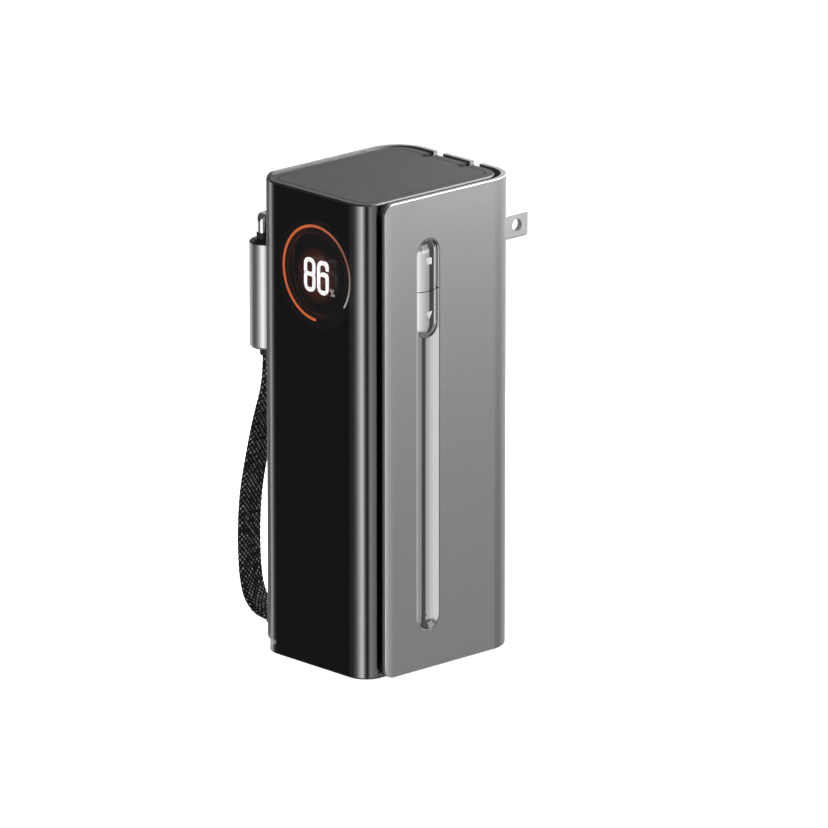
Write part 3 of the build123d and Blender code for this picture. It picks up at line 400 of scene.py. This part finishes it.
def lead_centreline():
    """Points along the middle of the lead, read from its NURBS spline."""
    curve = bpy.data.curves.new("lead_route", "CURVE")
    curve.dimensions = "3D"
    curve.resolution_u = 24
    spline = curve.splines.new("NURBS")
    spline.points.add(len(LEAD_ROUTE) - 1)
    for point, (x, z) in zip(spline.points, LEAD_ROUTE):
        point.co = (x * MM, LEAD_Y * MM, z * MM, 1)
    spline.order_u = 3
    spline.use_endpoint_u = True
    holder = bpy.data.objects.new("lead_route", curve)
    mesh = bpy.data.meshes.new_from_object(holder)
    line = np.array([v.co for v in mesh.vertices], float)
    bpy.data.meshes.remove(mesh)
    bpy.data.curves.remove(curve)
    return line


def evenly(line, step):
    along = np.concatenate([[0], np.cumsum(np.linalg.norm(np.diff(line, axis=0), axis=1))])
    at = np.linspace(0, along[-1], int(along[-1] / step) + 1)
    return np.stack([np.interp(at, along, line[:, k]) for k in range(3)], axis=1), at


def slot_section(count, width, thickness):
    """Points, outward normals and lengths round a round-ended flat section."""
    radius = thickness / 2
    straight = width - thickness
    around = 2 * straight + 2 * math.pi * radius
    points, normals = [], []
    for c in np.arange(count) * around / count:
        if c < straight:
            points.append((c - straight / 2, radius))
            normals.append((0, 1))
        elif c < straight + math.pi * radius:
            angle = math.pi / 2 - (c - straight) / radius
            points.append((straight / 2 + radius * math.cos(angle), radius * math.sin(angle)))
            normals.append((math.cos(angle), math.sin(angle)))
        elif c < 2 * straight + math.pi * radius:
            points.append((straight / 2 - (c - straight - math.pi * radius), -radius))
            normals.append((0, -1))
        else:
            angle = -math.pi / 2 - (c - 2 * straight - math.pi * radius) / radius
            points.append((-straight / 2 + radius * math.cos(angle), radius * math.sin(angle)))
            normals.append((math.cos(angle), math.sin(angle)))
    return np.array(points), np.array(normals)


def braid(along, share_round):
    """Height, 0 to 1, of a plain braid at each place, and lightness, 0 to 1, a painted sheen on each yarn's
    crown.
    """
    p = along / CELL_ALONG + share_round * CELLS_AROUND
    q = along / CELL_ALONG - share_round * CELLS_AROUND
    i, j = np.floor(p).astype(int), np.floor(q).astype(int)
    fp, fq = p - i, q - j
    over = (i + j) % 2 == 0
    across = np.where(over, fp, fq)
    lengthwise = np.where(over, fq, fp)
    crown = np.sqrt(np.clip(1 - (2 * across - 1) ** 2, 0, 1))
    height = crown**0.8 * (0.25 + 0.75 * np.sin(np.pi * lengthwise) ** 0.7)
    # Painted sheen: a lighter spot of random strength at the crown of each yarn.
    random = np.random.default_rng(CROWN_SHEEN_SEED).random((256, 2 * CELLS_AROUND))
    chance = random[(i + j) % 256, (i - j) % (2 * CELLS_AROUND)]
    spot = np.exp(-(((across - 0.5) / CROWN_SHEEN_ACROSS) ** 2) - ((lengthwise - 0.5) / CROWN_SHEEN_ALONG) ** 2)
    return height, spot * (0.25 + 0.75 * chance)


def woven_lead():
    line = lead_centreline()
    points, along = evenly(line, STEP_ALONG)
    tangent = np.gradient(points, axis=0)
    tangent /= np.linalg.norm(tangent, axis=1)[:, None]
    across = np.array([0.0, 1.0, 0.0])
    outward = np.cross(tangent, across)
    section, normals = slot_section(STEPS_AROUND, LEAD_WIDTH - BRAID_HEIGHT, LEAD_THICKNESS - BRAID_HEIGHT)
    share = np.arange(STEPS_AROUND) / STEPS_AROUND
    # grey is the painted sheen on the yarn crowns, handed to the sleeve's base colour through an attribute.
    height, grey = braid(along[:, None], share[None, :])
    offset = (height - 0.5) * BRAID_HEIGHT
    local = section[None] + normals[None] * offset[..., None]
    rings = points[:, None] + local[..., :1] * across + local[..., 1:] * outward[:, None]
    rows, columns = len(points), STEPS_AROUND
    faces = []
    for r in range(rows - 1):
        for c in range(columns):
            n = (c + 1) % columns
            faces.append((r * columns + c, r * columns + n, (r + 1) * columns + n, (r + 1) * columns + c))
    faces.append(tuple(range(columns))[::-1])
    faces.append(tuple((rows - 1) * columns + c for c in range(columns)))
    obj = mesh_object("woven_lead", rings.reshape(-1, 3), faces)
    float_attribute(obj, "crown_sheen", grey.ravel())
    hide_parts("strap_cable")
    dress(obj, "body", woven_sleeve())
    return obj


woven_lead()


# ---- CAD nodes take their materials ----
def paint_cad_nodes():
    for subpart in frame["record"]["subparts"]:
        slot = subpart["material_slot"]
        obj = frame["nodes"][subpart["node"]]
        obj.data.materials.clear()
        obj.data.materials.append(MATERIALS.get(slot, MATERIALS["component_black"]))


paint_cad_nodes()


# ---- the window's printed black mask ----
COVER_WALL = 0.0015
COVER_CORNER_R = 0.0054
COVER_END_Y = -0.01933
MASK_GAP = 0.00003
MASK_OPENING_R = 0.0135
MASK_THICKNESS = 0.00001
DISPLAY_Z = 0.0974


def window_mask():
    """Black print on the inside of the window and on its rear edges, with the display's round opening."""
    low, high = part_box("front_cover")
    depth = COVER_WALL - MASK_GAP
    half = high.x - depth
    front = low.y + depth
    corner = COVER_CORNER_R - depth
    base_z, top_z = low.z + MASK_GAP, high.z - MASK_GAP
    recipe = Recipe("mask_black", (0.002, 0.002, 0.002), 0.4)
    recipe.set("Specular IOR Level", 0.0)
    recipe.tint(recipe.noise(0.01), 0.2)
    edge = (half - corner) / MM
    rim = [(-edge, base_z / MM), (edge, base_z / MM), (edge, top_z / MM), (-edge, top_z / MM)]
    opening = circle(0, DISPLAY_Z / MM, MASK_OPENING_R / MM, 96)
    plate = filled_plate("window_mask", [rim, opening], MASK_THICKNESS, (0, front, 0))
    dress(plate, "body", recipe.mat)
    turned = math.acos((front + corner - COVER_END_Y) / corner)
    arc = [
        (half - corner + corner * math.sin(a), front + corner - corner * math.cos(a))
        for a in np.linspace(0, turned, 9)
    ]
    arc.append((high.x - MASK_GAP - MASK_THICKNESS, COVER_END_Y))
    for name, side in (("window_mask_right", 1), ("window_mask_left", -1)):
        vertices, faces = [], []
        for x, y in arc:
            vertices.append((side * x, y, base_z))
            vertices.append((side * x, y, top_z))
        for k in range(len(arc) - 1):
            faces.append((2 * k, 2 * k + 2, 2 * k + 3, 2 * k + 1))
        strip = mesh_object(name, vertices, faces, smooth=False)
        solid = strip.modifiers.new("solid", "SOLIDIFY")
        solid.thickness = MASK_THICKNESS
        solid.offset = 0
        dress(strip, "body", recipe.mat)


window_mask()


# ---- lit graphics of the display ----
DISPLAY = Vector((0.0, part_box("display_panel")[0].y, DISPLAY_Z))
RING_R = 11.55
RING_STROKE = 0.66
RING_START = math.radians(269)
RING_SWEEP = math.radians(304)
HALO_R = (9.8, 11.15)
DOT_PITCH = 0.64
DOT_R = 0.18
DOTS_REACH = 7.0
DIGIT_X = 2.30
DIGIT_SCALE = 0.955
DIGIT_STRENGTH = 2.2
SIGN_STRENGTH = 1.5
GRAPHICS_THICKNESS = 0.00006
# How far each layer of graphics stands in front of the display panel.
DIGIT_LIFT = 0.00012
RING_LIFT = 0.00007
DOT_LIFTS = (0.00004, 0.00001)
HALO_LIFT = 0.00003
HALO_THICKNESS = 0.00002


def ribbon(name, rows, y_front, thickness, attributes):
    """Closed thin ribbon from rows of (left, right) points in the display's XZ plane, in mm."""
    vertices, faces = [], []
    for left, right in rows:
        for y in (y_front, y_front + thickness):
            for x, z in (left, right):
                vertices.append((DISPLAY.x + x * MM, y, DISPLAY.z + z * MM))
    for k in range(len(rows) - 1):
        a, b = 4 * k, 4 * k + 4
        faces += [(a, a + 1, b + 1, b), (a + 2, b + 2, b + 3, a + 3)]
        faces += [(a, b, b + 2, a + 2), (a + 1, a + 3, b + 3, b + 1)]
    last = 4 * (len(rows) - 1)
    faces += [(0, 2, 3, 1), (last, last + 1, last + 3, last + 2)]
    obj = mesh_object(name, vertices, faces, smooth=False)
    for key, values in attributes.items():
        float_attribute(obj, key, np.repeat(values, 4))
    return obj


def charge_ring():
    """The open ring: full at its start, thinner and greyer towards its end, with rounded ends."""
    rows, turn = [], []
    count = 260
    for k in range(count + 1):
        t = k / count
        angle = RING_START - RING_SWEEP * t
        half = RING_STROKE / 2 * (1 - 0.30 * max(0.0, (t - 0.45) / 0.55))
        from_end = min(t, 1 - t) * RING_SWEEP * RING_R
        if from_end < half:
            half *= math.sqrt(max(0.0, 1 - (1 - from_end / half) ** 2)) + 0.05
        c, s = math.cos(angle), math.sin(angle)
        rows.append((((RING_R + half) * c, (RING_R + half) * s), ((RING_R - half) * c, (RING_R - half) * s)))
        turn.append(t)
    obj = ribbon("display_ring", rows, DISPLAY.y - RING_LIFT, GRAPHICS_THICKNESS, {"turn": turn})
    stops = [
        (0.0, (0.80, 0.155, 0.035)),
        (0.50, (0.80, 0.155, 0.035)),
        (0.66, (0.55, 0.14, 0.06)),
        (0.80, (0.30, 0.12, 0.075)),
        (0.90, (0.30, 0.25, 0.20)),
        (1.0, (0.52, 0.50, 0.48)),
    ]
    dress(obj, "body", lit("ring_light", "turn", stops, 2.4))


def inner_halo():
    """Dim red glow inside the ring, with a faint thin line at its inner edge."""
    rows, glow, vertices, faces = [], [], [], []
    count, bands = 180, [HALO_R[0], HALO_R[0] + 0.2, HALO_R[0] + 0.25, 10.4, 10.8, HALO_R[1]]
    levels = [0.8, 0.8, 0.10, 0.12, 0.20, 0.35]
    for k in range(count):
        angle = 2 * math.pi * k / count
        side = 0.5 + 0.5 * math.cos(angle - math.radians(160))
        for radius, level in zip(bands, levels):
            x, z = radius * math.cos(angle), radius * math.sin(angle)
            vertices.append((DISPLAY.x + x * MM, DISPLAY.y - HALO_LIFT, DISPLAY.z + z * MM))
            glow.append(level * side)
    n = len(bands)
    for k in range(count):
        a, b = k * n, ((k + 1) % count) * n
        for m in range(n - 1):
            faces.append((a + m, b + m, b + m + 1, a + m + 1))
    obj = mesh_object("display_halo", vertices, faces, smooth=False)
    float_attribute(obj, "glow", glow)
    solid = obj.modifiers.new("solid", "SOLIDIFY")
    solid.thickness = HALO_THICKNESS
    solid.offset = 0
    stops = [(0.0, (0, 0, 0)), (1.0, (0.10, 0.012, 0.008))]
    dress(obj, "body", lit("halo_light", "glow", stops, 1.6))


def dot_matrix():
    """Round grid of small dots behind the digits, fading outwards."""
    vertices, faces, fade = [], [], []
    sides = 8
    middle = (0.0, -0.6)
    reach = int(DOTS_REACH / DOT_PITCH) + 1
    for i in range(-reach, reach + 1):
        for j in range(-reach, reach + 1):
            x, z = i * DOT_PITCH, j * DOT_PITCH
            share = math.hypot(x, z) / DOTS_REACH
            if share > 1:
                continue
            start = len(vertices)
            for lift in DOT_LIFTS:
                for k in range(sides):
                    angle = 2 * math.pi * (k + 0.5) / sides
                    px = (middle[0] + x + DOT_R * math.cos(angle)) * MM
                    pz = (middle[1] + z + DOT_R * math.sin(angle)) * MM
                    vertices.append((DISPLAY.x + px, DISPLAY.y - lift, DISPLAY.z + pz))
                    fade.append(1 - share**2)
            faces.append(tuple(start + k for k in range(sides)))
            faces.append(tuple(start + sides + k for k in range(sides))[::-1])
            for k in range(sides):
                n = (k + 1) % sides
                faces.append((start + k, start + sides + k, start + sides + n, start + n))
    obj = mesh_object("display_dots", vertices, faces, smooth=False)
    float_attribute(obj, "fade", fade)
    stops = [(0.0, (0, 0, 0)), (1.0, (0.26, 0.045, 0.022))]
    dress(obj, "body", lit("dot_light", "fade", stops, 3.4))


EIGHT = [
    [(2.1, 3.75, 1.9), (-2.1, 3.75, 1.9), (-2.1, 0.1, 0.7), (-1.8, -0.45, 0.25), (-2.1, -1.0, 0.7),
     (-2.1, -5.05, 1.9), (2.1, -5.05, 1.9), (2.1, -1.0, 0.7), (1.8, -0.45, 0.25), (2.1, 0.1, 0.7)],
    [(0.96, 2.6, 0.6), (-0.96, 2.6, 0.6), (-0.96, 0.05, 0.5), (0.96, 0.05, 0.5)],
    [(0.96, -1.0, 0.5), (-0.96, -1.0, 0.5), (-0.96, -3.92, 0.6), (0.96, -3.92, 0.6)],
]
SIX = [
    [(2.12, 3.75, 1.95), (-2.12, 3.75, 1.95), (-2.12, -5.05, 1.95), (2.12, -5.05, 1.95), (2.12, 0.85, 1.5),
     (-0.1, 0.85, 0.4), (-0.96, 0.25, 0.1), (-0.96, 2.6, 0.65), (0.96, 2.6, 0.6), (0.96, 1.33, 0.15),
     (2.12, 1.33, 0.2)],
    [(0.98, -0.35, 0.55), (-0.96, -0.35, 0.55), (-0.96, -3.92, 0.6), (0.98, -3.92, 0.6)],
]
PERCENT_PLACE = (5.55, -3.7)


def sized(shape):
    """Rounded outline of a digit's shape at the display's scale."""
    return [(x * DIGIT_SCALE, z * DIGIT_SCALE) for x, z in rounded_outline(shape)]


def digits():
    white, grey = (0.92, 0.90, 0.89), (0.5, 0.48, 0.48)
    bright = lit("digit_light", "level", [(0.0, white), (1.0, white)], DIGIT_STRENGTH)
    dim = lit("sign_light", "level", [(0.0, grey), (1.0, grey)], SIGN_STRENGTH)
    y = DISPLAY.y - DIGIT_LIFT
    for name, shapes, x in (("display_digit_tens", EIGHT, -DIGIT_X), ("display_digit_units", SIX, DIGIT_X)):
        outlines = [sized(shape) for shape in shapes]
        obj = filled_plate(name, outlines, GRAPHICS_THICKNESS, (x * MM, y, DISPLAY.z))
        dress(obj, "body", bright)
    x, z = PERCENT_PLACE
    outlines = [
        circle(-0.5, 0.5, 0.36),
        circle(-0.5, 0.5, 0.14),
        circle(0.5, -0.5, 0.36),
        circle(0.5, -0.5, 0.14),
        [(-0.55, -0.85), (-0.30, -0.85), (0.55, 0.85), (0.30, 0.85)],
    ]
    obj = filled_plate("display_sign", outlines, GRAPHICS_THICKNESS, (x * MM, y, DISPLAY.z + z * MM))
    dress(obj, "body", dim)


def hide_from_reflections():
    """Keeps the lit pieces from showing a second time in the window's inner face."""
    for obj in bpy.context.scene.objects:
        if obj.name.startswith("display_") and obj.name not in frame["nodes"]:
            obj.visible_glossy = False


charge_ring()
inner_halo()
dot_matrix()
digits()
hide_from_reflections()


# ---- icons on the buttons ----
CROWN_R = 0.0062
ICON_LIFT = 0.00003
SQUARE_Z = 0.1017
TRIANGLE_Z = 0.0883


def button_icon(name, body, node, z_middle, span):
    """White mark that follows the button's crown; span gives its edges at each share of its width."""
    low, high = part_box(node)
    crown_x = high.x - CROWN_R
    y_middle = (low.y + high.y) / 2
    vertices, faces = [], []
    columns = 16
    for k in range(columns + 1):
        share = 2 * k / columns - 1
        y, z_low, z_high = span(share)
        surface = crown_x + math.sqrt(CROWN_R**2 - y**2)
        for x in (surface + ICON_LIFT, surface - ICON_LIFT):
            for z in (z_low, z_high):
                vertices.append((x, y_middle + y, z_middle + z))
    for k in range(columns):
        a, b = 4 * k, 4 * k + 4
        faces += [(a, b, b + 1, a + 1), (a + 2, a + 3, b + 3, b + 2)]
        faces += [(a, a + 2, b + 2, b), (a + 1, b + 1, b + 3, a + 3)]
    last = 4 * columns
    faces += [(0, 1, 3, 2), (last, last + 2, last + 3, last + 1)]
    obj = mesh_object(name, vertices, faces, smooth=False)
    recipe = Recipe("icon_white", (0.42, 0.42, 0.42), 0.5)
    recipe.tint(recipe.noise(0.0005), 0.03)
    dress(obj, body, recipe.mat)


def square_span(share):
    half, corner = 0.00086, 0.0003
    y = share * half
    rest = max(0.0, abs(y) - (half - corner))
    z = half - corner + math.sqrt(max(0.0, corner**2 - rest**2))
    return y, -z, z


def triangle_span(share):
    half, top, apex = 0.00105, 0.00090, -0.00095
    y = share * half
    return y, apex + (top - apex) * abs(share) * 0.98, top


button_icon("icon_square", "upper_button", "upper_button", SQUARE_Z, square_span)
button_icon("icon_triangle", "lower_button", "lower_button", TRIANGLE_Z, triangle_span)


# ---- floor and light ----
def floor():
    obj = mesh_object("floor", [(-6, -6, 0), (6, -6, 0), (6, 6, 0), (-6, 6, 0)], [(0, 1, 2, 3)], smooth=False)
    recipe = Recipe("floor_white", (0.80, 0.80, 0.80), 0.9)
    recipe.tint(recipe.noise(0.5), 0.01)
    recipe.set("Emission Color", (1, 1, 1, 1))
    recipe.set("Emission Strength", 1.0)
    obj.data.materials.append(recipe.mat)
    obj.visible_glossy = False
    obj.visible_diffuse = False
    obj.visible_transmission = False
    obj.visible_shadow = False


def softbox(name, azimuth, elevation, distance, side, radiance):
    """Square soft light that faces the object from that direction, in degrees and metres."""
    data = bpy.data.lights.new(name, "AREA")
    data.shape = "SQUARE"
    data.size = side
    data.energy = radiance * math.pi * side * side
    obj = bpy.data.objects.new(name, data)
    bpy.context.scene.collection.objects.link(obj)
    out = direction(math.radians(azimuth), math.radians(elevation))
    obj.location = CAMERA_AIM + out * distance
    obj.rotation_mode = "QUATERNION"
    obj.rotation_quaternion = (-out).to_track_quat("-Z", "Y")
    obj.visible_camera = False
    return obj


# Brightness of the studio round the object, as (azimuth in degrees, level) pairs.
BAND_LOW = [
    (-180, 0.46), (-172, 0.40), (-160, 0.70), (-142, 0.45), (-127, 0.5), (-112, 0.4), (-97, 0.8), (-82, 1.3),
    (-68, 0.45), (-56, 0.08), (-45, 0.035), (-34, 0.12), (-22, 0.12), (-10, 0.3), (0, 0.65), (10, 1.45),
    (20, 2.5), (30, 3.2), (40, 1.0), (48, 0.2), (55, 0.06), (64, 0.5), (70, 1.15), (79, 1.0), (86, 0.83),
    (95, 0.71), (105, 0.62), (117, 0.50), (133.5, 0.40), (136, 0.08), (160, 0.07), (167, 0.33),
]
BAND_WALL = [
    (-180, 0.6), (-158, 0.85), (-112, 0.34), (-68, 0.1), (-22, 0.02), (22, 0.05), (68, 0.49), (112, 0.1),
    (158, 0.1), (180, 0.6),
]
BAND_CEILING = 0.08
BAND_BELOW = 0.2
BRIGHTEST = 16.0


class WorldMaths:
    """Small helper for the studio's node tree."""

    def __init__(self, world):
        world.use_nodes = True
        self.tree = world.node_tree
        self.tree.nodes.clear()

    def new(self, kind):
        return self.tree.nodes.new(kind)

    def link(self, output, socket):
        self.tree.links.new(output, socket)

    def maths(self, operation, first, second=None):
        node = self.new("ShaderNodeMath")
        node.operation = operation
        for socket, value in zip(node.inputs, (first, second)):
            if isinstance(value, (int, float)):
                socket.default_value = value
            elif value is not None:
                self.link(value, socket)
        return node.outputs[0]

    def band(self, share, stops):
        """Brightness by azimuth, scaled down so that the colours stay under 1."""
        ramp = self.new("ShaderNodeValToRGB")
        elements = ramp.color_ramp.elements
        while len(elements) < len(stops):
            elements.new(0.5)
        for element, (azimuth, level) in zip(elements, stops):
            element.position = (azimuth + 180) / 360
            element.color = (level / BRIGHTEST,) * 3 + (1,)
        self.link(share, ramp.inputs["Fac"])
        return ramp.outputs["Color"]

    def grey(self, level):
        node = self.new("ShaderNodeRGB")
        node.outputs[0].default_value = (level / BRIGHTEST,) * 3 + (1,)
        return node.outputs[0]

    def blend(self, elevation, middle, below, above):
        """One brightness below an elevation and another above it, in degrees, with a soft edge."""
        step = self.new("ShaderNodeMapRange")
        step.inputs["From Min"].default_value = math.radians(middle - 3)
        step.inputs["From Max"].default_value = math.radians(middle + 3)
        self.link(elevation, step.inputs["Value"])
        mix = self.new("ShaderNodeMix")
        mix.data_type = "RGBA"
        self.link(step.outputs["Result"], mix.inputs["Factor"])
        self.link(below, mix.inputs[6])
        self.link(above, mix.inputs[7])
        return mix.outputs[2]


def studio_world():
    """Soft surroundings with pale and dark walls by azimuth, white to the camera."""
    world = bpy.data.worlds.new("studio")
    bpy.context.scene.world = world
    w = WorldMaths(world)
    split = w.new("ShaderNodeSeparateXYZ")
    w.link(w.new("ShaderNodeTexCoord").outputs["Generated"], split.inputs["Vector"])
    azimuth = w.maths("ARCTAN2", split.outputs["X"], w.maths("MULTIPLY", split.outputs["Y"], -1.0))
    elevation = w.maths("ARCSINE", split.outputs["Z"])
    share = w.maths("ADD", w.maths("DIVIDE", azimuth, 2 * math.pi), 0.5)
    level = w.blend(elevation, -40, w.grey(BAND_BELOW), w.band(share, BAND_LOW))
    level = w.blend(elevation, 2, level, w.band(share, BAND_WALL))
    level = w.blend(elevation, 40, level, w.grey(BAND_CEILING))
    studio = w.new("ShaderNodeBackground")
    studio.inputs["Strength"].default_value = BRIGHTEST
    w.link(level, studio.inputs["Color"])
    white = w.new("ShaderNodeBackground")
    white.inputs["Color"].default_value = (1, 1, 1, 1)
    mix = w.new("ShaderNodeMixShader")
    w.link(w.new("ShaderNodeLightPath").outputs["Is Camera Ray"], mix.inputs["Fac"])
    w.link(studio.outputs["Background"], mix.inputs[1])
    w.link(white.outputs["Background"], mix.inputs[2])
    w.link(mix.outputs["Shader"], w.new("ShaderNodeOutputWorld").inputs["Surface"])


def flag_off(light, nodes):
    """Keeps a light off some pieces, as a photographer's flag would."""
    flagged = bpy.data.collections.new("flagged")
    for place, node in enumerate(nodes):
        flagged.objects.link(frame["nodes"][node])
        flagged.collection_objects[place].light_linking.link_state = "EXCLUDE"
    light.light_linking.receiver_collection = flagged


def lights():
    high = softbox("high_right", 148, 45, 0.24, 0.23, 12.8)
    flag_off(high, ("channel_insert", "upper_button", "lower_button"))
    softbox("side_right", 110, 15, 0.28, 0.15, 0.3)


floor()
studio_world()
lights()
bpy.context.scene.view_settings.view_transform = "Standard"
